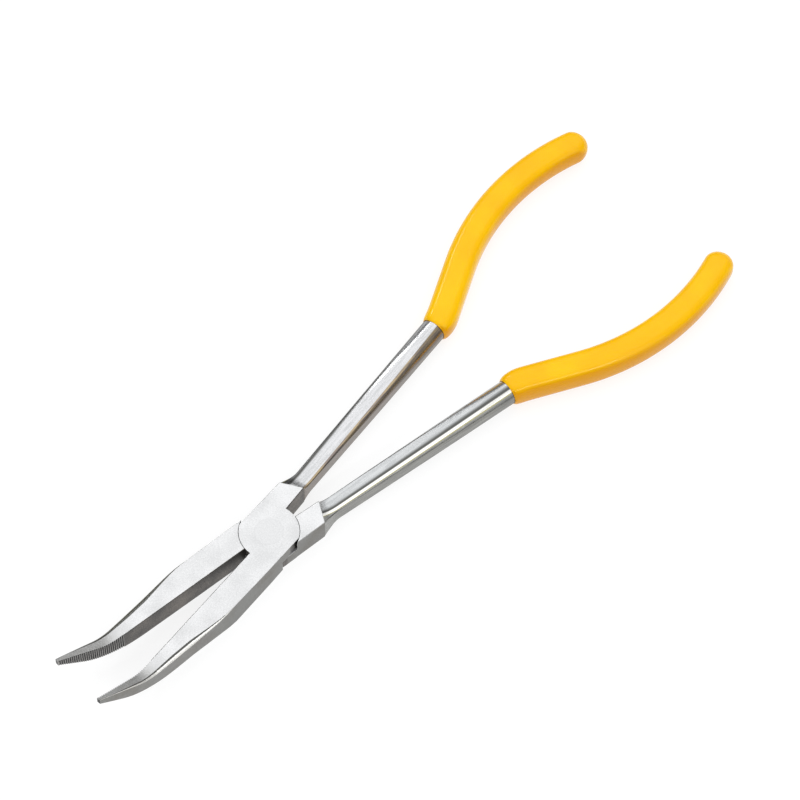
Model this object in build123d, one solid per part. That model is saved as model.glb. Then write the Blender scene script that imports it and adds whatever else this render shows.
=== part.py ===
"""Long-reach bent-nose pliers: two lapped steel forgings on one rivet, with dipped grips.

Millimetres. Each forging is drawn closed, with the pivot on the Z axis, its shank and grip on the
+X side running along +Y, and its jaw on the -X side running along -Y. The upper forging is the
mirror image of the lower one, apart from the layer of the joint that its disc fills. Both are then
turned about the pivot to the pose in which the pliers rest: a little open. The joint's underside
is at Z = 0, and both jaw noses bend up, towards +Z.
"""

from build123d import *
from math import asin, cos, pi, radians, sin, sqrt, tan
import os

# Driving dimensions of the whole tool
jaw_length = 87.6            # pivot to jaw tip
joint_thickness = 10.0
disc_radius = 10.3           # of the lapped discs round the pivot
rest_angle = 6.035           # each half is turned this far from closed at rest

# Clearances
lap_clearance = 0.03         # from the lap plane to each disc
disc_clearance = 0.15        # round the edge of a disc
face_clearance = 0.05        # from the closing plane to each jaw's inner face
rivet_clearance = 0.05       # running fit of the rivet in the lower forging

# Jaw: a straight block beside the joint, then a nose that narrows and bends up
jaw_width = 9.0              # at the end of the straight block
head_width = 9.35            # beside the joint
block_length = 29.0          # pivot to the end of the straight block
taper_start = 34.5           # distances are all measured from the pivot
taper_slope = 0.1435
taper_blend = 4.0
edge_break = 0.2             # small corner along the long edges of the head and the jaws
bevel_width = 1.6            # of the facet that grows along the outer top edge of the nose
bevel_slope = 0.085          # how fast it grows, from the end of the block
bevel_end = 86.0             # where it has run out again
bevel_end_slope = 0.052
bevel_drop = 0.6             # its height over its width
bevel_bulge = 0.12           # how far it crowns, over its width
draft_share = 0.45           # how far the side leans in to the underside, over the facet's width
block_draft = 0.6            # how far the side leans out to the underside at the block's end
block_draft_run = 7.0        # past the block's end, over which that lean runs out
top_bend_start = 63.0
top_bend_radius = 14.5
top_bend_angle = radians(34.5)
underside_slope = 0.014
under_bend_start = 53.0
under_bend_radius = 35.0
under_bend_angle = radians(45)
nose_steps = 28

# Teeth: V grooves right across the inner face, square to the joint
tooth_start = 61.5
tooth_pitch = 0.8
tooth_depth = 0.42

# Handle flat: the full-thickness block between the joint and the shank
flat_inner_start = 0.5
flat_inner_end = (1.45, 20.1)
flat_outer_end = (9.25, 16.5)
flat_outer_start = (9.55, -10.3)   # the outer side runs on straight to here, and trims the disc

# Shank and the line that it and the grip follow
shank_angle = radians(2.1)   # to the tool's axis
mouth_position = 98.3        # along the tool's axis, where the grip begins
shank_root_size = 6.25
shank_mouth_width = 8.6
shank_mouth_height = 8.9
root_length = 6.0            # of the concave run-out from the flat
root_offset = 0.9
bend_start = 99.5            # along the tool's axis, where the handle turns outwards
bend_radius = 17.0
grip_angle = radians(21.8)   # of the straight stretch of the grip
grip_straight = 20.3
bow_radius = 82.5            # the long bow that brings the grip back in
bow_end_angle = radians(23.3)
root_steps = 6
bar_steps = 8
core_steps = 20

# Shank section: crowned top and bottom, vertical sides and a facet at each corner that widens
# from the joint to the grip. Each pair gives the share of the section at the root and the mouth.
crown_share = (0.45, 0.27)   # half width of the crowned top over the width
crown_drop = (0.02, 0.09)    # fall of the crown at its edge over the height
side_share = (0.43, 0.10)    # half height of the vertical side over the height
facet_bulge = 0.12           # of a facet, over its size

# Grip
grip_size = 11.1
grip_corner = 4.1
grip_end_size = 10.6
mouth_lip = 0.25
flare_length = 6.0
core_end_gap = 5.0           # plastic past the end of the steel
flare_steps = 6
body_steps = 20
dome_steps = 7

# Rivet, flush with the joint's faces
rivet_radius = 3.5
rivet_head_radius = 5.0
rivet_head_depth = 1.5

middle = joint_thickness / 2
flat_end_centre = [(a + b) / 2 for a, b in zip(flat_inner_end, flat_outer_end)]
flat_end_run = [b - a for a, b in zip(flat_inner_end, flat_outer_end)]
flat_end_width = sqrt(flat_end_run[0] ** 2 + flat_end_run[1] ** 2)
flat_end_heading = asin(flat_end_run[1] / flat_end_width)
root_radius = (root_length ** 2 + (middle - shank_root_size / 2) ** 2) / (joint_thickness - shank_root_size)

# The handle's centreline: (length, curvature) of each stretch from the end of the flat
spine_stretches = [
    ((bend_start - flat_end_centre[1]) / cos(shank_angle), 0),
    ((grip_angle - shank_angle) * bend_radius, 1 / bend_radius),
    (grip_straight, 0),
    ((grip_angle + bow_end_angle) * bow_radius, -1 / bow_radius),
]
spine_length = sum(length for length, curvature in spine_stretches)
mouth_distance = (mouth_position - flat_end_centre[1]) / cos(shank_angle)


def mix(pair, share):
    """The value between the two of a pair."""
    return pair[0] + (pair[1] - pair[0]) * share


def ramp(distance, blend):
    """Zero before the start, the distance after it, and a smooth turn between the two."""
    if distance < -blend:
        return 0
    if distance > blend:
        return distance
    return (distance + blend) ** 2 / (4 * blend)


def bend_rise(distance, radius, angle):
    """Height gained along an arc that starts level and runs on straight at an angle."""
    arc_run = radius * sin(angle)
    if distance < 0:
        return 0
    if distance < arc_run:
        return radius - sqrt(radius ** 2 - distance ** 2)
    return radius * (1 - cos(angle)) + (distance - arc_run) * tan(angle)


def section_plane(x, y, heading):
    """An upright plane at mid-thickness whose own X axis has this heading from +X."""
    x_axis = (cos(heading), sin(heading), 0)
    return Plane(origin=(x, y, middle), x_dir=x_axis, z_dir=(sin(heading), -cos(heading), 0))


def spine(distance):
    """Plane square to the handle's centreline, so far past the end of the flat."""
    x = flat_end_centre[0] - root_offset
    y = flat_end_centre[1]
    angle = shank_angle
    for length, curvature in spine_stretches:
        run = min(distance, length)
        turned = angle + run * curvature
        if curvature:
            x += (cos(angle) - cos(turned)) / curvature
            y += (sin(turned) - sin(angle)) / curvature
        else:
            x += run * sin(angle)
            y += run * cos(angle)
        angle = turned
        distance -= run
    return section_plane(x + distance * sin(angle), y + distance * cos(angle), -angle)


def disc(radius, low, high):
    """A round slab about the pivot between two heights."""
    return extrude(Plane.XY.offset(low) * Circle(radius), high - low)


def handle_flat():
    """The full-thickness block beside the joint, with its two long sides' edges broken."""
    share = flat_outer_end[1] / (flat_outer_end[1] - flat_outer_start[1])
    outline = Polyline(
        (flat_inner_start, 0),
        flat_inner_end,
        flat_outer_end,
        (mix((flat_outer_end[0], flat_outer_start[0]), share), 0),
        close=True,
    )
    block = extrude(make_face(outline), joint_thickness)
    levels = block.edges().group_by(Axis.Z)
    long_sides = levels[0].sort_by(SortBy.LENGTH)[-2:] + levels[-1].sort_by(SortBy.LENGTH)[-2:]
    return chamfer(long_sides, edge_break)


def nose_section(distance):
    """Cross-section of the jaw, so far from the pivot: flat inside, with a facet along its outer top."""
    width = jaw_width - taper_slope * ramp(distance - taper_start, taper_blend)
    beside_joint = (block_length - distance) / (block_length - disc_radius)
    width += (head_width - jaw_width) * max(0, min(1, beside_joint))
    bevel = min(bevel_slope * (distance - block_length), bevel_end_slope * (bevel_end - distance))
    bevel = max(edge_break, min(bevel, bevel_width))
    top = middle + bend_rise(distance - top_bend_start, top_bend_radius, top_bend_angle)
    bottom = bend_rise(distance - under_bend_start, under_bend_radius, under_bend_angle) - middle
    bottom += underside_slope * max(0, distance - block_length)
    inner = -face_clearance
    corner = inner - edge_break
    shoulder = top - bevel_drop * bevel
    foot = draft_share * (bevel - edge_break) - width
    past_block = distance - block_length
    foot -= block_draft * max(0, min(distance / block_length, 1 - past_block / block_draft_run))
    crown = (bevel / 2 - width - bevel_bulge * bevel, (top + shoulder) / 2 + bevel_bulge * bevel)
    outline = [
        Polyline((foot + edge_break, bottom), (corner, bottom), (inner, bottom + edge_break)),
        Polyline((inner, bottom + edge_break), (inner, top - edge_break), (corner, top)),
        Line((corner, top), (bevel - width, top)),
        ThreePointArc((bevel - width, top), crown, (-width, shoulder)),
        Polyline((-width, shoulder), (foot, bottom + edge_break), (foot + edge_break, bottom)),
    ]
    return section_plane(0, -distance, 0) * make_face(outline)


def nose():
    """The jaw from the straight block to its tip."""
    step = (jaw_length - block_length) / nose_steps
    return loft([nose_section(block_length + step * i) for i in range(nose_steps + 1)])


def tooth_grooves():
    """The V grooves of one jaw, as one zigzag slab through its inner face."""
    count = int((jaw_length - tooth_start) / tooth_pitch)
    points = [(joint_thickness, -tooth_start)]
    for i in range(count):
        crest = -tooth_start - i * tooth_pitch
        points.append((-face_clearance, crest))
        points.append((-face_clearance - tooth_depth, crest - tooth_pitch / 2))
    points.append((-face_clearance, -tooth_start - count * tooth_pitch))
    points.append((joint_thickness, -tooth_start - count * tooth_pitch))
    zigzag = make_face(Polyline(*points, close=True))
    return extrude(zigzag, 3 * joint_thickness)


def shank_section(width, height, facet):
    """Crowned and faceted outline, from square (facet 0) to nearly round (facet 1)."""
    crown_x = width * mix(crown_share, facet)
    crown_z = height * (0.5 - mix(crown_drop, facet))
    side_x = width / 2
    side_z = height * mix(side_share, facet)
    bulge_x = (crown_x + side_x) / 2 + facet_bulge * (side_x - crown_x)
    bulge_z = (crown_z + side_z) / 2 + facet_bulge * (crown_z - side_z)
    outline = []
    for turn in (1, -1):
        cx, cz, sx, sz, bx, bz = [turn * v for v in (crown_x, crown_z, side_x, side_z, bulge_x, bulge_z)]
        outline += [
            ThreePointArc((-cx, cz), (0, turn * height / 2), (cx, cz)),
            ThreePointArc((cx, cz), (bx, bz), (sx, sz)),
            Line((sx, sz), (sx, -sz)),
            ThreePointArc((sx, -sz), (bx, -bz), (cx, -cz)),
        ]
    return make_face(outline)


def shank_size(distance):
    """Width and height of the shank and how faceted it is, so far past the end of the flat."""
    share = min(1, max(0, (distance - root_length) / (mouth_distance - root_length)))
    width = mix((shank_root_size, shank_mouth_width), share)
    height = mix((shank_root_size, shank_mouth_height), share)
    return width, height, share


def root_section(distance):
    """Section of the run-out, which turns from the flat's slanted end square to the shank."""
    drop = root_radius - sqrt(root_radius ** 2 - (root_length - distance) ** 2)
    fullness = drop / (middle - shank_root_size / 2)
    width = mix((shank_root_size, flat_end_width), fullness)
    heading = mix((-shank_angle, flat_end_heading), fullness)
    centre = spine(distance).origin
    plane = section_plane(centre.X + root_offset * fullness, centre.Y, heading)
    return plane * shank_section(width, shank_root_size + 2 * drop, 0)


def bar_sections(start, end, steps):
    """Evenly spaced sections of the shank between two distances past the end of the flat."""
    distances = [mix((start, end), i / steps) for i in range(steps + 1)]
    return [spine(distance) * shank_section(*shank_size(distance)) for distance in distances]


def shank():
    """The handle's steel, from the flat to near the end of the grip."""
    root = [root_section(root_length * i / root_steps) for i in range(root_steps + 1)]
    bar = bar_sections(root_length, mouth_distance, bar_steps)
    core = bar_sections(mouth_distance, spine_length - core_end_gap, core_steps)
    return loft(root) + loft(bar) + loft(core, ruled=True)


def trimmed_disc(low, high):
    """A half's own disc, cut off straight by the outer sides of its jaw and its handle."""
    left = Line((-head_width, -disc_radius), (-head_width, disc_radius))
    right = Polyline((-head_width, disc_radius), flat_outer_end, flat_outer_start, (-head_width, -disc_radius))
    between_sides = extrude(make_face(left + right), joint_thickness)
    return disc(disc_radius, low, high) & between_sides


def forging(own_low, own_high, other_low, other_high):
    """One half: jaw, disc and handle in one piece, its disc in its own layer of the joint."""
    jaw_block = loft([nose_section(d) for d in (0, disc_radius, block_length)], ruled=True)
    own_disc = trimmed_disc(own_low, own_high)
    head = jaw_block + handle_flat()
    head -= disc(disc_radius + disc_clearance, other_low, other_high)
    return head + own_disc + (nose() - tooth_grooves()) + shank()


def rivet():
    """Shaft with a countersunk head at the top and a spread tail at the underside."""
    profile = Polyline(
        (0, 0),
        (rivet_head_radius, 0),
        (rivet_radius, rivet_head_depth),
        (rivet_radius, joint_thickness - rivet_head_depth),
        (rivet_head_radius, joint_thickness),
        (0, joint_thickness),
        close=True,
    )
    return revolve(Plane.XZ * make_face(profile), Axis.Z)


def rivet_hole():
    """Space for the rivet in the lower forging, all round it by the running clearance."""
    profile = Polyline(
        (0, -joint_thickness),
        (rivet_head_radius + rivet_clearance, -joint_thickness),
        (rivet_head_radius + rivet_clearance, 0),
        (rivet_radius + rivet_clearance, rivet_head_depth),
        (rivet_radius + rivet_clearance, joint_thickness),
        (0, joint_thickness),
        close=True,
    )
    return revolve(Plane.XZ * make_face(profile), Axis.Z)


def grip_section(distance, size, corner):
    """Rounded square across the handle's centreline."""
    return spine(distance) * RectangleRounded(size, size, corner)


def grip_body():
    """The dipped grip as a solid: flared mouth, even body and domed end."""
    mouth_size = shank_mouth_height + 2 * mouth_lip
    mouth_corner = grip_corner * mouth_size / grip_size
    sections = []
    for i in range(flare_steps):
        angle = pi / 2 * i / flare_steps
        distance = mouth_distance + flare_length * (1 - cos(angle))
        size = mix((mouth_size, grip_size), sin(angle))
        sections.append(grip_section(distance, size, mix((mouth_corner, grip_corner), sin(angle))))
    for i in range(body_steps):
        share = i / body_steps
        distance = mix((mouth_distance + flare_length, spine_length), share)
        sections.append(grip_section(distance, mix((grip_size, grip_end_size), share ** 2), grip_corner))
    for i in range(dome_steps):
        angle = pi / 2 * i / dome_steps
        distance = spine_length + grip_end_size / 2 * sin(angle)
        sections.append(grip_section(distance, grip_end_size * cos(angle), grip_corner * cos(angle)))
    return loft(sections, ruled=True)


def place_lower(shape):
    """From the closed drawing to the lower half's resting pose."""
    return Rot(0, 0, -rest_angle) * shape


def place_upper(shape):
    """The same for the upper half, whose shank is on the -X side."""
    return Rot(0, 0, rest_angle) * mirror(shape, about=Plane.YZ)


split_low = middle - lap_clearance
split_high = middle + lap_clearance
lower = forging(0, split_low, split_low, joint_thickness)
upper = forging(split_high, joint_thickness, 0, split_high)
grip = grip_body() - lower

nodes = {
    "upper_lap_half": place_upper(upper - rivet()),
    "lower_lap_half": place_lower(lower - rivet_hole()),
    "pivot_rivet": rivet(),
    "upper_half_grip": place_upper(grip),
    "lower_half_grip": place_lower(grip),
}

os.makedirs("parts", exist_ok=True)
for name, shape in nodes.items():
    export_step(shape, f"parts/{name}.step")
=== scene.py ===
import math

import bmesh
import bpy
from mathutils import Matrix, Vector


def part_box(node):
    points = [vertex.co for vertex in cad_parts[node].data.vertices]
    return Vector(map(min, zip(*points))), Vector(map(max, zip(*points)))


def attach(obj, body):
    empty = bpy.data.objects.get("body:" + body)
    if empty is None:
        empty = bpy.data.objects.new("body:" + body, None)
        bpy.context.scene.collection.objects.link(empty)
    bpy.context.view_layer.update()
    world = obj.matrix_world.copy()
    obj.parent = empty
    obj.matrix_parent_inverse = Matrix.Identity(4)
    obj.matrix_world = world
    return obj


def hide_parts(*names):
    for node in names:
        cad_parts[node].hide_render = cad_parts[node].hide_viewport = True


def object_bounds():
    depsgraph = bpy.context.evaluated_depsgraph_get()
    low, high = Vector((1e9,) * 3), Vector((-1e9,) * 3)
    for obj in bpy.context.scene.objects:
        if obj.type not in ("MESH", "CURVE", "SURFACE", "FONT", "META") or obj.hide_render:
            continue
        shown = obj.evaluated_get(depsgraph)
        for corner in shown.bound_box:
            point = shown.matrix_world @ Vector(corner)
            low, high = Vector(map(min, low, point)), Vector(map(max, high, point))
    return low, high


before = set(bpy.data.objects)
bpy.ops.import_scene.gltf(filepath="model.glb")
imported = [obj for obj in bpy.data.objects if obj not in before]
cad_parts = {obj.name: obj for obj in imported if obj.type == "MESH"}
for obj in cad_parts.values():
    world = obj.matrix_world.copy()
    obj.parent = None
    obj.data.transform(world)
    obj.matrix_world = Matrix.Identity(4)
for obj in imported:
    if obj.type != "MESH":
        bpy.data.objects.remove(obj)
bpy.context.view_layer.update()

scene = bpy.context.scene
scene.view_settings.view_transform = "Standard"

MM = 0.001
rivet_low, rivet_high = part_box("pivot_rivet")
pivot = (rivet_low + rivet_high) / 2
mid_height = pivot.z / MM

# How each half stands in the frame, and the closed drawing that its own coordinates refer to
# (millimetres: x across the tool, y along it from the pivot).
rest_angle = math.radians(6.035)
side_of_half = {"upper": -1, "lower": 1}
flat_inner_end = (1.45, 20.1)
flat_outer_end = (9.25, 16.5)
shank_start = (4.45, 18.3)
shank_angle = math.radians(2.1)
shank_root_size = 6.25
shank_root_length = 6.0
shank_mouth_width = 8.6
shank_mouth_height = 8.9
straight_shank = 81.25       # along the centreline, from its start to the bend
mouth_distance = 80.05       # along the centreline, where the grip begins
bend_radius = 17.0
bend_turn = math.radians(19.7)
grip_straight = 20.3
bow_radius = 82.5
bow_turn = math.radians(45.1)

# The handle's centreline: (length, curvature) of each stretch
handle_stretches = [
    (straight_shank, 0),
    (bend_turn * bend_radius, 1 / bend_radius),
    (grip_straight, 0),
    (bow_turn * bow_radius, -1 / bow_radius),
]
handle_length = sum(length for length, curvature in handle_stretches)

# Grip
grip_size = 11.05
grip_end_size = 10.55
grip_squareness = 2.84       # superellipse exponent of the body's section
mouth_size = 9.35
mouth_squareness = 2.2
round_squareness = 2.0
mouth_flare = 6.0
mouth_lip = 0.22
bore_gap = 0.05              # by which the bore is smaller than the shank, on each side
core_end_gap = 5.0           # plastic past the end of the steel
ring_segments = 64
bore_steps = 40
lip_steps = 5
flare_steps = 14
body_steps = 72
dome_steps = 18


# ---------------------------------------------------------------- camera

view_azimuth = math.radians(44.705)
view_elevation = math.radians(60.61)
view_distance = 1.5
view_lens = 200.6
view_sensor = 36
view_reach = 20
aim_right = 43.93 * MM
aim_up = 46.53 * MM


def view_axes(azimuth, elevation):
    """Right, up and backward directions of a camera at this azimuth and elevation."""
    right = Vector((math.cos(azimuth), math.sin(azimuth), 0))
    back = Vector((math.sin(azimuth) * math.cos(elevation),
                   -math.cos(azimuth) * math.cos(elevation),
                   math.sin(elevation)))
    return right, back.cross(right), back


def add_camera():
    """The camera, aimed a little beside and past the pivot."""
    right, up, back = view_axes(view_azimuth, view_elevation)
    data = bpy.data.cameras.new("camera")
    data.lens = view_lens
    data.sensor_width = view_sensor
    data.clip_end = view_reach
    camera = bpy.data.objects.new("camera", data)
    place = pivot + right * aim_right + up * aim_up + back * view_distance
    turn = Matrix((right, up, back)).transposed().to_4x4()
    camera.matrix_world = Matrix.Translation(place) @ turn
    scene.collection.objects.link(camera)
    scene.camera = camera


# ---------------------------------------------------------------- node helpers

def new_material(name):
    """A fresh material, its node tree and its shader."""
    material = bpy.data.materials.new(name)
    material.use_nodes = True
    return material, material.node_tree, material.node_tree.nodes["Principled BSDF"]


def add_node(tree, kind, inputs=None, **settings):
    """A node with its settings made and its inputs set or linked."""
    node = tree.nodes.new(kind)
    for key, value in settings.items():
        setattr(node, key, value)
    for key, value in (inputs or {}).items():
        if isinstance(value, bpy.types.NodeSocket):
            tree.links.new(value, node.inputs[key])
        else:
            node.inputs[key].default_value = value
    return node


def calc(tree, operation, first, second=0.0, third=0.0):
    """One arithmetic step."""
    inputs = {0: first, 1: second, 2: third}
    return add_node(tree, "ShaderNodeMath", inputs, operation=operation).outputs[0]


def negate(tree, value):
    """The value with its sign changed."""
    return calc(tree, "MULTIPLY", value, -1.0)


def weigh(tree, first, second, share):
    """The two values added up, the first with this share and the second with the rest."""
    rest = calc(tree, "MULTIPLY", second, 1 - share)
    return calc(tree, "ADD", calc(tree, "MULTIPLY", first, share), rest)


def step_up(tree, value, low, high):
    """0 below low, 1 above high and a smooth rise between them."""
    inputs = {"Value": value, "From Min": low, "From Max": high}
    node = add_node(tree, "ShaderNodeMapRange", inputs, interpolation_type="SMOOTHSTEP")
    return node.outputs["Result"]


def step_down(tree, value, low, high):
    """1 below low, 0 above high and a smooth fall between them."""
    return calc(tree, "SUBTRACT", 1.0, step_up(tree, value, low, high))


def linear_map(tree, value, low, high, at_low, at_high):
    """A straight line from at_low to at_high, held level outside the range."""
    inputs = {"Value": value, "From Min": low, "From Max": high, "To Min": at_low, "To Max": at_high}
    return add_node(tree, "ShaderNodeMapRange", inputs).outputs["Result"]


def both(tree, *masks):
    """The product of several masks."""
    total = masks[0]
    for mask in masks[1:]:
        total = calc(tree, "MULTIPLY", total, mask)
    return total


def band(tree, value, low, high, soft):
    """1 between low and high, fading to 0 over the soft distance on each side."""
    return both(tree, step_up(tree, value, low - soft, low), step_down(tree, value, high, high + soft))


def blend_colour(tree, factor, base, over):
    """The base colour, covered by the other as far as the factor says."""
    node = tree.nodes.new("ShaderNodeMix")
    node.data_type = "RGBA"
    for socket, value in ((node.inputs[0], factor), (node.inputs[6], base), (node.inputs[7], over)):
        if isinstance(value, bpy.types.NodeSocket):
            tree.links.new(value, socket)
        elif isinstance(value, tuple):
            socket.default_value = (*value, 1)
        else:
            socket.default_value = value
    return node.outputs[2]


def blend_value(tree, factor, base, over):
    """The same for a plain number."""
    inputs = {0: factor, 2: base, 3: over}
    return add_node(tree, "ShaderNodeMix", inputs, data_type="FLOAT").outputs[0]


def noise(tree, place, scale, detail, roughness=0.5):
    """Smooth noise from 0 to 1, with this many features per unit of its coordinates."""
    inputs = {"Vector": place, "Scale": scale, "Detail": detail, "Roughness": roughness}
    return add_node(tree, "ShaderNodeTexNoise", inputs).outputs["Fac"]


def stretched(tree, place, scale):
    """Coordinates multiplied along each axis by its own factor."""
    return add_node(tree, "ShaderNodeMapping", {"Vector": place, "Scale": scale}).outputs[0]


def place_in_mm(tree):
    """A point's place in its object, in millimetres."""
    source = add_node(tree, "ShaderNodeTexCoord").outputs["Object"]
    return stretched(tree, source, (1 / MM, 1 / MM, 1 / MM))


def bump(tree, height, distance, normal=None):
    """A normal tilted by the slope of a height, on top of another normal if there is one."""
    inputs = {"Height": height, "Distance": distance, "Strength": 1.0}
    if normal:
        inputs["Normal"] = normal
    return add_node(tree, "ShaderNodeBump", inputs).outputs[0]


def split(tree, vector):
    """The three parts of a vector."""
    return add_node(tree, "ShaderNodeSeparateXYZ", {0: vector}).outputs


def alignment(tree, first, second):
    """Cosine of the angle between two directions."""
    inputs = {0: first, 1: second}
    return add_node(tree, "ShaderNodeVectorMath", inputs, operation="DOT_PRODUCT").outputs["Value"]


# ---------------------------------------------------------------- steel

ground_bright = (0.685, 0.687, 0.69)
ground_dull = (0.55, 0.553, 0.555)
nose_dull = (0.40, 0.40, 0.39)
# Painted shade: walls and the shank's sides are darker grey and brown by the way they face, standing for the
# dim room they reflect; their streaks are random tone
wall_shade_grey = (0.225, 0.225, 0.217)
wall_shade_brown = (0.18, 0.17, 0.152)
wall_shade_streak = (0.30, 0.30, 0.28)
# Painted shade: the inner faces between the jaws and the teeth's grooves are dark, and the crests are lighter
inner_shade_dark = (0.075, 0.072, 0.07)
inner_shade_brown = (0.20, 0.18, 0.16)
tooth_crest_lit = (0.30, 0.29, 0.28)
tooth_groove_shade = (0.02, 0.02, 0.02)
# Painted reflections: a dark stripe, a bright highlight, an olive line along the creases and a bronze inner
# facet
painted_dark_reflection = (0.09, 0.09, 0.085)
painted_highlight = (0.86, 0.85, 0.81)
olive = (0.38, 0.35, 0.17)
bronze = (0.38, 0.30, 0.19)
side_shade_brown = (0.23, 0.195, 0.175)
edge_light = (0.80, 0.80, 0.79)

# The two halves get different painted light: painted highlights, reflections and shade on the nose's
# facet and the shank, and crowns lit to different levels. Places are across the shank, from its middle (0)
# to its outer side (1), at the root and at the mouth. A crease past 1 isn't on the shank at all.
half_painted_light = {
    "upper": {
        "facet": painted_highlight,
        "crown_bright": (0.60, 0.60, 0.61),
        "crown_dull": (0.46, 0.465, 0.47),
        "line": (0.70, 0.92),
        "line_soft": 0.32,
        "outside_line": (0.16, 0.16, 0.16),
        "outer_crease": (1.2, 1.2),
        "inner_crease": (0.74, 0.34),
    },
    "lower": {
        "facet": (0.11, 0.105, 0.08),
        "crown_bright": (0.53, 0.54, 0.545),
        "crown_dull": (0.41, 0.42, 0.425),
        "line": (0.40, 0.22),
        "line_soft": 0.40,
        "outside_line": painted_highlight,
        "outer_crease": (0.84, 0.60),
        "inner_crease": (1.3, 1.3),
    },
}

# Noises: features per mm, detail and roughness
blast_grain = (2.2, 3.0, 0.65)
shank_grain = (2.6, 3.0, 0.6)
cloud_noise = (0.09, 3.0)
streak_noise = (1.6, 3.0)
scuff_noise = (0.8, 3.0)
gloss_noise = (1.3, 4.0, 0.6)
blast_relief = (3.5, 3.0, 0.7)
drawn_relief = (5.0, 2.0)
streak_stretch = (1.0, 0.06, 1.0)
drawn_stretch = (1.0, 0.04, 1.0)
grain_share = 0.55           # of the fine grain in the ground finish, the rest being clouds
streak_share = 0.5           # of the streaks in the shank's finish, the rest being fine grain
rivet_grain_share = 0.8      # of the fine grain in the rivet's finish, the rest being rings
ring_scale = 1.6
ring_distortion = 0.6
ring_detail = 2.0

# Levels of a noise between which one colour takes over from the other
ground_levels = (0.38, 0.62)
nose_levels = (0.3, 0.55)
wall_levels = (0.35, 0.75)
inner_levels = (0.42, 0.66)
outer_streak_levels = (0.35, 0.7)
inner_streak_levels = (0.4, 0.7)
bronze_levels = (0.42, 0.6)
scuff_levels = (0.35, 0.6)
rivet_levels = (0.35, 0.7)
middle_levels = (0.3, 0.7)

# Stretches of the jaw over which its colour changes, painted light included, from the pivot (mm)
facet_start = (-30.0, -28.5)
nose_start = (-68.0, -60.0)
teeth_start = (-61.6, -61.4)
handle_start = (-0.5, 0.5)
groove_depth = (-0.28, -0.10)      # across, from inside a groove to a crest

# How far a surface faces outwards (0 on the top, 1 on the side) where its painted shade and reflections
# change
facet_facing = (0.07, 0.95)
facet_soft = 0.02
facet_line_end = (0.34, 0.46)
facet_olive_start = (0.82, 0.9)
outer_wall = (0.5, 0.9)
inner_wall = (0.4, 0.7)
steep_side = (0.80, 0.93)
edge_on = (0.3, 0.6)               # by how far it faces up or down
top_only = (0.05, 0.2)             # by how far it faces up

# Across the shank, as a share of its half width
line_full = -0.03
line_end = (0.05, 0.17)
outer_crease_soft = 0.02
inner_crease_soft = 0.015
olive_soft = 0.03
finish_start = (-0.05, 0.35)       # along it, past the flat's end (mm)

# Gloss, wear and relief
flat_gloss = (0.34, 0.46)
shank_gloss = (0.20, 0.30)
wear_radius = 0.18 * MM
wear_samples = 6
wear_levels = (0.02, 0.2)
wear_cover = 0.6
steel_relief = 0.012 * MM


def worn_edges(tree):
    """1 along edges that stick out, from how far a rounded normal turns from the true one."""
    rounded = add_node(tree, "ShaderNodeBevel", {"Radius": wear_radius}, samples=wear_samples).outputs[0]
    true = add_node(tree, "ShaderNodeNewGeometry").outputs["Normal"]
    turned = calc(tree, "SUBTRACT", 1.0, alignment(tree, rounded, true))
    return step_up(tree, turned, *wear_levels), rounded


def half_coordinates(tree, side):
    """Place (mm) and normal of a point in its half's closed drawing, with the shank at +X."""
    source = add_node(tree, "ShaderNodeTexCoord")
    to_mm = 1 / MM
    turn = (0, 0, rest_angle)
    place = {"Vector": source.outputs["Object"], "Scale": (side * to_mm, to_mm, to_mm), "Rotation": turn}
    facing = {"Vector": source.outputs["Normal"], "Scale": (side, 1, 1), "Rotation": turn}
    place = add_node(tree, "ShaderNodeMapping", place).outputs[0]
    facing = add_node(tree, "ShaderNodeMapping", facing, vector_type="VECTOR").outputs[0]
    return place, facing


def shank_offset(tree, across, along):
    """How far across the straight shank a point is: -1 at its inner side, 1 at its outer side."""
    slope = math.tan(shank_angle)
    centre = calc(tree, "MULTIPLY_ADD", along, slope, shank_start[0] - shank_start[1] * slope)
    half_width = linear_map(tree, along, shank_start[1] + shank_root_length, shank_start[1] + mouth_distance,
                            shank_root_size / 2, shank_mouth_width / 2)
    return calc(tree, "DIVIDE", calc(tree, "SUBTRACT", across, centre), half_width)


def facet_colour(tree, facing_out, painted_light):
    """Going out across the facet of the nose, painted reflections: a dark line, a bright or dull band, an
    olive line.
    """
    colour = blend_colour(tree, step_up(tree, facing_out, *facet_line_end), painted_dark_reflection, painted_light["facet"])
    return blend_colour(tree, step_up(tree, facing_out, *facet_olive_start), colour, olive)


def inner_face_colour(tree, shade, across, along):
    """The jaw's inner face, darkened as painted shade, and its teeth, with painted shade in the grooves and
    lighter crests.
    """
    plain = blend_colour(tree, step_up(tree, shade, *inner_levels), inner_shade_dark, inner_shade_brown)
    teeth = blend_colour(tree, step_down(tree, across, *groove_depth), tooth_crest_lit, tooth_groove_shade)
    return blend_colour(tree, step_down(tree, along, *teeth_start), plain, teeth)


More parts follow.
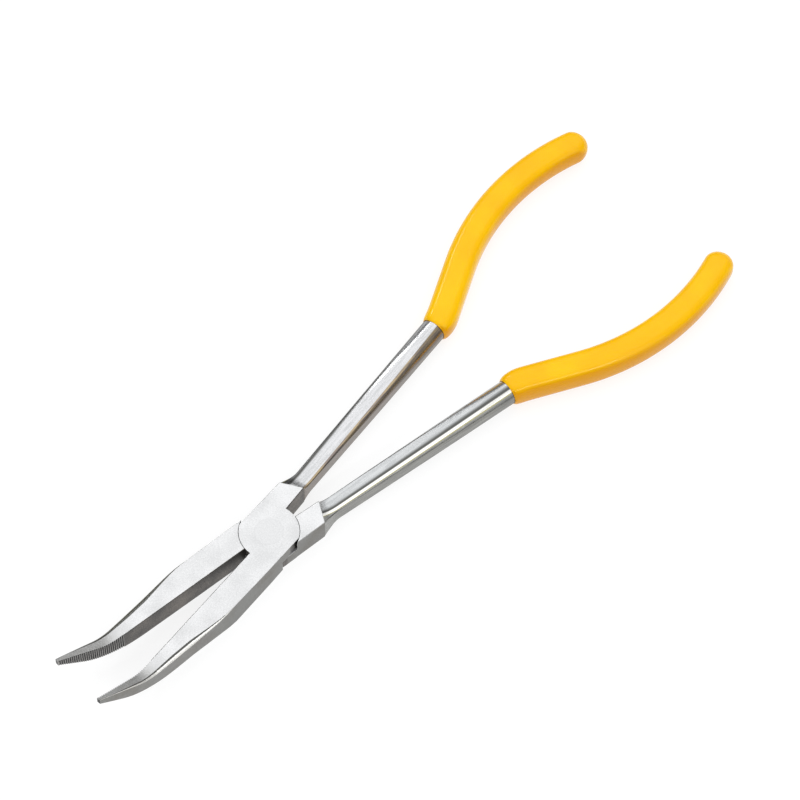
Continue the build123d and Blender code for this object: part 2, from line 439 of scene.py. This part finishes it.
def head_colour(tree, place, across, along, facing_out, facing_up, painted_light):
    """Colour of the jaws and the joint: ground top and underside, walls and inner faces darkened as painted
    shade, and painted reflections on the nose's facet.
    """
    grain = noise(tree, place, *blast_grain)
    cloud = noise(tree, place, *cloud_noise)
    shade = weigh(tree, grain, cloud, grain_share)
    ground = blend_colour(tree, step_up(tree, shade, *ground_levels), ground_dull, ground_bright)
    bent_nose = both(tree, step_down(tree, along, *nose_start), step_up(tree, grain, *nose_levels))
    ground = blend_colour(tree, bent_nose, ground, nose_dull)
    # Painted shade on the walls, with random clouds
    wall = blend_colour(tree, step_up(tree, cloud, *wall_levels), wall_shade_grey, wall_shade_brown)
    inner = inner_face_colour(tree, shade, across, along)
    facing_in = negate(tree, facing_out)
    colour = blend_colour(tree, step_up(tree, facing_out, *outer_wall), ground, wall)
    # Painted shade on the inner faces
    colour = blend_colour(tree, step_up(tree, facing_in, *inner_wall), colour, inner)
    # The nose's tip and the other faces that look along the tool get the inner faces' painted shade
    ends = both(tree, step_down(tree, calc(tree, "ABSOLUTE", facing_up), *edge_on),
                step_down(tree, facing_out, *outer_wall), step_down(tree, facing_in, *inner_wall))
    colour = blend_colour(tree, ends, colour, inner)
    on_nose = step_down(tree, along, *facet_start)
    facet = both(tree, on_nose, band(tree, facing_out, *facet_facing, facet_soft))
    return blend_colour(tree, facet, colour, facet_colour(tree, facing_out, painted_light))


def shank_colour(tree, place, offset, along, facing_out, facing_up, painted_light):
    """Colour of the shank, with painted reflections and shade: crown, a soft dark line along it outside,
    bronze inside, grey sides.
    """
    root = shank_start[1] + shank_root_length
    mouth = shank_start[1] + mouth_distance
    streak = noise(tree, stretched(tree, place, streak_stretch), *streak_noise)
    grain = noise(tree, place, *shank_grain)
    shade = weigh(tree, streak, grain, streak_share)
    bright = step_up(tree, shade, *ground_levels)
    crown = blend_colour(tree, bright, painted_light["crown_dull"], painted_light["crown_bright"])
    line = calc(tree, "SUBTRACT", offset, linear_map(tree, along, root, mouth, *painted_light["line"]))
    # Painted reflection: a soft dark line along the crown, and past it a painted highlight or dark edge
    crown = blend_colour(tree, step_up(tree, line, -painted_light["line_soft"], line_full), crown, painted_dark_reflection)
    crown = blend_colour(tree, step_up(tree, line, *line_end), crown, painted_light["outside_line"])
    # Painted shade on the shank's sides: grey outside, brown inside, with random streaks
    outer_side = blend_colour(tree, step_up(tree, streak, *outer_streak_levels), wall_shade_grey, wall_shade_streak)
    inner_side = blend_colour(tree, step_up(tree, streak, *inner_streak_levels), side_shade_brown, wall_shade_brown)
    # Painted reflection: the bronze inner facet
    facet = blend_colour(tree, step_up(tree, streak, *bronze_levels), bronze, side_shade_brown)
    inner_side = blend_colour(tree, step_up(tree, negate(tree, facing_out), *steep_side), facet, inner_side)
    outer_crease = linear_map(tree, along, root, mouth, *painted_light["outer_crease"])
    inner_crease = linear_map(tree, along, root, mouth, *painted_light["inner_crease"])
    past_outer = calc(tree, "SUBTRACT", offset, outer_crease)
    past_inner = calc(tree, "SUBTRACT", negate(tree, offset), inner_crease)
    outer_mask = step_up(tree, past_outer, -outer_crease_soft, outer_crease_soft)
    inner_mask = step_up(tree, past_inner, -inner_crease_soft, inner_crease_soft)
    olive_line = band(tree, past_outer, -outer_crease_soft, outer_crease_soft, olive_soft)
    colour = blend_colour(tree, outer_mask, crown, outer_side)
    # Painted reflection: the olive line along the outer crease
    colour = blend_colour(tree, both(tree, olive_line, step_up(tree, facing_up, *top_only)), colour, olive)
    return blend_colour(tree, inner_mask, colour, inner_side)


def past_flat(tree, across, along):
    """1 on the shank, which starts at the slanted end of the flat, and 0 before it."""
    slant = (flat_inner_end[1] - flat_outer_end[1]) / (flat_outer_end[0] - flat_inner_end[0])
    flat_end = flat_inner_end[1] + slant * flat_inner_end[0]
    distance = calc(tree, "MULTIPLY_ADD", across, slant, along)
    return step_up(tree, distance, flat_end + finish_start[0], flat_end + finish_start[1])


def steel_material(half, side):
    """One forging: satin where it is ground, smoother and streaked along the shank, worn at the edges, with
    painted shade on walls and inner faces and painted reflections on the nose and shank.
    """
    material, tree, shader = new_material(half + "_steel")
    place, facing = half_coordinates(tree, side)
    across, along = split(tree, place)[:2]
    facing_parts = split(tree, facing)
    facing_across, facing_up = facing_parts["X"], facing_parts["Z"]
    # The jaw is on the other side of the tool's middle line from the handle
    outwards = linear_map(tree, step_up(tree, along, *handle_start), 0.0, 1.0, -1.0, 1.0)
    facing_out = calc(tree, "MULTIPLY", facing_across, outwards)
    offset = shank_offset(tree, across, along)
    head = head_colour(tree, place, across, along, facing_out, facing_up, half_painted_light[half])
    shank = shank_colour(tree, place, offset, along, facing_out, facing_up, half_painted_light[half])
    on_shank = past_flat(tree, across, along)
    colour = blend_colour(tree, on_shank, head, shank)
    edges, rounded = worn_edges(tree)
    worn = both(tree, edges, step_up(tree, noise(tree, place, *scuff_noise), *scuff_levels))
    colour = blend_colour(tree, calc(tree, "MULTIPLY", worn, wear_cover), colour, edge_light)
    tree.links.new(colour, shader.inputs["Base Color"])
    shader.inputs["Metallic"].default_value = 1

    mottle = noise(tree, place, *gloss_noise)
    gloss = blend_value(tree, on_shank, linear_map(tree, mottle, *middle_levels, *flat_gloss),
                        linear_map(tree, mottle, *middle_levels, *shank_gloss))
    tree.links.new(gloss, shader.inputs["Roughness"])

    blasted = noise(tree, place, *blast_relief)
    drawn = noise(tree, stretched(tree, place, drawn_stretch), *drawn_relief)
    relief = blend_value(tree, on_shank, blasted, drawn)
    tree.links.new(bump(tree, relief, steel_relief, rounded), shader.inputs["Normal"])
    return material


def rivet_material():
    """Ground flush with the joint: fine rings left by the spinning tool, under the same blasting."""
    material, tree, shader = new_material("rivet_ground")
    place = place_in_mm(tree)
    grain = noise(tree, place, *blast_grain)
    inputs = {"Vector": place, "Scale": ring_scale, "Distortion": ring_distortion, "Detail": ring_detail}
    rings = add_node(tree, "ShaderNodeTexWave", inputs, wave_type="RINGS", rings_direction="Z").outputs["Fac"]
    shade = weigh(tree, grain, rings, rivet_grain_share)
    colour = blend_colour(tree, step_up(tree, shade, *rivet_levels), ground_dull, ground_bright)
    tree.links.new(colour, shader.inputs["Base Color"])
    shader.inputs["Metallic"].default_value = 1
    tree.links.new(linear_map(tree, grain, *middle_levels, *flat_gloss), shader.inputs["Roughness"])
    tree.links.new(bump(tree, shade, steel_relief), shader.inputs["Normal"])
    return material


# ---------------------------------------------------------------- grips

vinyl_yellow = (0.94, 0.54, 0.0)
vinyl_deep = (0.90, 0.475, 0.0)
vinyl_speck = (0.82, 0.40, 0.0)
# Painted shade: the orange of the grips' shaded flank
vinyl_shade = (0.70, 0.30, 0.0)
vinyl_cloud = (0.06, 3.0)
vinyl_grain = (2.0, 3.0)
speck_levels = (0.55, 0.8)
speck_cover = 0.3
shaded_flank = (0.60, -0.68, -0.42)   # the flank painted in shade, turned away from the light
shaded_flank_levels = (0.1, 0.6)
shaded_flank_cover = 0.9
vinyl_gloss = (0.11, 0.17)
vinyl_specular = 0.2
vinyl_scatter = 0.06
vinyl_scatter_colour = (1.0, 0.5, 0.1)
vinyl_scatter_depth = 0.8 * MM
ripple_noise = (0.22, 2.0)
ripple_height = 0.10 * MM
skin_noise = (1.4, 3.0)
skin_height = 0.006 * MM


def vinyl_colour(tree, place, speck):
    """Even yellow, a little deeper in places, and more orange as painted shade on the flank that faces away
    from the light.
    """
    cloud = noise(tree, place, *vinyl_cloud)
    colour = blend_colour(tree, step_up(tree, cloud, *middle_levels), vinyl_deep, vinyl_yellow)
    specks = calc(tree, "MULTIPLY", step_up(tree, speck, *speck_levels), speck_cover)
    colour = blend_colour(tree, specks, colour, vinyl_speck)
    # Painted shade: more orange on the flank away from the light
    facing = add_node(tree, "ShaderNodeTexCoord").outputs["Normal"]
    flank_shade = step_up(tree, alignment(tree, facing, shaded_flank), *shaded_flank_levels)
    return blend_colour(tree, calc(tree, "MULTIPLY", flank_shade, shaded_flank_cover), colour, vinyl_shade)


def grip_material():
    """Glossy dipped vinyl with a faintly rippled skin."""
    material, tree, shader = new_material("dipped_vinyl")
    place = place_in_mm(tree)
    speck = noise(tree, place, *vinyl_grain)
    tree.links.new(vinyl_colour(tree, place, speck), shader.inputs["Base Color"])
    tree.links.new(linear_map(tree, speck, *middle_levels, *vinyl_gloss), shader.inputs["Roughness"])
    shader.inputs["Specular IOR Level"].default_value = vinyl_specular
    shader.inputs["Subsurface Weight"].default_value = vinyl_scatter
    shader.inputs["Subsurface Radius"].default_value = vinyl_scatter_colour
    shader.inputs["Subsurface Scale"].default_value = vinyl_scatter_depth
    rippled = bump(tree, noise(tree, place, *ripple_noise), ripple_height)
    skin = bump(tree, noise(tree, place, *skin_noise), skin_height, rippled)
    tree.links.new(skin, shader.inputs["Normal"])
    return material


def centreline(distance):
    """Point and heading (from +Y towards +X) of the handle's centreline, in mm, closed drawing."""
    x, y = shank_start
    angle = shank_angle
    for length, curvature in handle_stretches:
        run = min(distance, length)
        turned = angle + run * curvature
        if curvature:
            x += (math.cos(angle) - math.cos(turned)) / curvature
            y += (math.sin(turned) - math.sin(angle)) / curvature
        else:
            x += run * math.sin(angle)
            y += run * math.cos(angle)
        angle = turned
        distance -= run
    return x + distance * math.sin(angle), y + distance * math.cos(angle), angle


def superellipse(angle, half_width, half_height, squareness):
    """Point of a rounded square at this angle."""
    c = math.cos(angle)
    s = math.sin(angle)
    power = 2 / squareness
    return (math.copysign(half_width * abs(c) ** power, c), math.copysign(half_height * abs(s) ** power, s))


def grip_stations():
    """(distance, half width, half height, squareness) of each ring, from the bore round to the end."""
    bore_width = shank_mouth_width / 2 - bore_gap
    bore_height = shank_mouth_height / 2 - bore_gap
    core_end = handle_length - core_end_gap
    mouth_half = mouth_size / 2
    grip_half = grip_size / 2
    end_half = grip_end_size / 2
    stations = []
    for i in range(bore_steps + 1):
        share = i / bore_steps
        distance = core_end + (mouth_distance - core_end) * share
        stations.append((distance, bore_width, bore_height, round_squareness))
    for i in range(lip_steps + 1):
        angle = math.pi / 2 * i / lip_steps
        half = mouth_half - mouth_lip * (1 - math.sin(angle))
        distance = mouth_distance + mouth_lip * (1 - math.cos(angle)) - mouth_lip / 2
        stations.append((distance, half, half, mouth_squareness))
    for i in range(1, flare_steps):
        angle = math.pi / 2 * i / flare_steps
        half = mouth_half + (grip_half - mouth_half) * math.sin(angle)
        square = mouth_squareness + (grip_squareness - mouth_squareness) * math.sin(angle)
        distance = mouth_distance + mouth_lip + mouth_flare * (1 - math.cos(angle))
        stations.append((distance, half, half, square))
    body_start = mouth_distance + mouth_lip + mouth_flare
    for i in range(body_steps):
        share = i / body_steps
        half = grip_half + (end_half - grip_half) * share ** 2
        distance = body_start + (handle_length - body_start) * share
        stations.append((distance, half, half, grip_squareness))
    for i in range(dome_steps):
        angle = math.pi / 2 * i / dome_steps
        square = grip_squareness - (grip_squareness - round_squareness) * math.sin(angle)
        half = end_half * math.cos(angle)
        stations.append((handle_length + end_half * math.sin(angle), half, half, square))
    return stations


def ring_points(station, side, segments):
    """The ring's points in metres, in the resting frame."""
    distance, half_width, half_height, squareness = station
    x, y, heading = centreline(distance)
    turn = Matrix.Rotation(-side * rest_angle, 3, "Z")
    points = []
    for i in range(segments):
        out, up = superellipse(2 * math.pi * i / segments, half_width, half_height, squareness)
        flat_x = side * (x + out * math.cos(heading))
        flat_y = y - out * math.sin(heading)
        points.append(turn @ Vector((flat_x, flat_y, mid_height + up)) * MM)
    return points


def grip_mesh(name, side):
    """One dipped grip as a closed shell: bore, rounded mouth, flare, body and domed end."""
    grid = bmesh.new()
    rings = []
    for station in grip_stations():
        rings.append([grid.verts.new(point) for point in ring_points(station, side, ring_segments)])
    for near, far in zip(rings, rings[1:]):
        for i in range(ring_segments):
            j = (i + 1) % ring_segments
            grid.faces.new((near[i], near[j], far[j], far[i]))
    core_end = handle_length - core_end_gap
    for ring, distance in ((rings[0], core_end), (rings[-1], handle_length + grip_end_size / 2)):
        tip = grid.verts.new(ring_points((distance, 0, 0, round_squareness), side, 1)[0])
        for i in range(ring_segments):
            grid.faces.new((ring[i], ring[(i + 1) % ring_segments], tip))
    bmesh.ops.recalc_face_normals(grid, faces=grid.faces)
    mesh = bpy.data.meshes.new(name)
    grid.to_mesh(mesh)
    grid.free()
    mesh.shade_smooth()
    return mesh


def add_grip(name, half, material):
    """A half's grip, which rides with the half and stands in for its plain CAD grip."""
    mesh = grip_mesh(name, side_of_half[half])
    mesh.materials.append(material)
    grip = bpy.data.objects.new(name, mesh)
    scene.collection.objects.link(grip)
    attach(grip, half + "_half")
    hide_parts(half + "_half_grip")


# ---------------------------------------------------------------- studio

horizon_grey = (0.15, 0.15, 0.15)
zenith_white = (0.74, 0.745, 0.755)
zenith_height = 0.9          # of a direction's own height, where the sky is all white

# Name, direction from the pivot, distance (m), width and height (m) and radiance of each light
softboxes = [
    ("overhead", (-0.22, 0.33, 0.87), 1.4, (1.7, 1.9), 0.75),
    ("side_box", (0.8, 0.15, 0.55), 1.4, (0.5, 1.3), 0.9),
    ("back_box", (-0.1, 1.0, 0.3), 1.5, (1.2, 0.5), 0.7),
    ("strip", (0.35, -0.75, 0.6), 1.3, (0.9, 0.12), 6.0),
    ("edge_strip", (0.69, -0.2, 0.69), 1.4, (0.9, 0.07), 17.0),
    ("left_box", (-0.82, 0.10, 0.57), 1.4, (0.7, 0.14), 9.0),
]

floor_size = 8
floor_gap = 0.05 * MM
floor_grey = (0.25, 0.25, 0.25, 1)
floor_white = (1, 1, 1, 1)
floor_glow = 0.78
floor_roughness = 0.9
floor_specular = 0.1


def add_softbox(name, direction, distance, size, radiance):
    """A rectangular area light that faces the pivot from a direction."""
    data = bpy.data.lights.new(name, "AREA")
    data.shape = "RECTANGLE"
    data.size, data.size_y = size
    data.energy = radiance * math.pi * size[0] * size[1]
    light = bpy.data.objects.new(name, data)
    direction = Vector(direction).normalized()
    light.location = pivot + direction * distance
    light.rotation_euler = direction.to_track_quat("Z", "Y").to_euler()
    scene.collection.objects.link(light)


def add_studio():
    """A room that is dim near the horizon and white overhead, with large boxes and narrow strips."""
    world = bpy.data.worlds.new("studio")
    world.use_nodes = True
    tree = world.node_tree
    direction = add_node(tree, "ShaderNodeTexCoord").outputs["Generated"]
    glow = step_up(tree, split(tree, direction)[2], 0.0, zenith_height)
    background = tree.nodes["Background"]
    tree.links.new(blend_colour(tree, glow, horizon_grey, zenith_white), background.inputs["Color"])
    background.inputs["Strength"].default_value = 1.0
    scene.world = world
    for softbox in softboxes:
        add_softbox(*softbox)


def add_floor():
    """A plain white floor just under the tool, which glows enough to take up most of the shadow."""
    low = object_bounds()[0]
    bpy.ops.mesh.primitive_plane_add(size=floor_size, location=(pivot.x, pivot.y, low[2] - floor_gap))
    floor = bpy.context.object
    floor.name = "floor"
    material, tree, shader = new_material("floor_white")
    shader.inputs["Base Color"].default_value = floor_grey
    shader.inputs["Roughness"].default_value = floor_roughness
    shader.inputs["Specular IOR Level"].default_value = floor_specular
    shader.inputs["Emission Color"].default_value = floor_white
    shader.inputs["Emission Strength"].default_value = floor_glow
    floor.data.materials.append(material)


def give_material(node, material):
    """The node's only material."""
    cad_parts[node].data.materials.clear()
    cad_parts[node].data.materials.append(material)


add_camera()
add_studio()
add_floor()
vinyl = grip_material()
for half, side in side_of_half.items():
    give_material(half + "_lap_half", steel_material(half, side))
    add_grip(half + "_grip_cover", half, vinyl)
give_material("pivot_rivet", rivet_material())
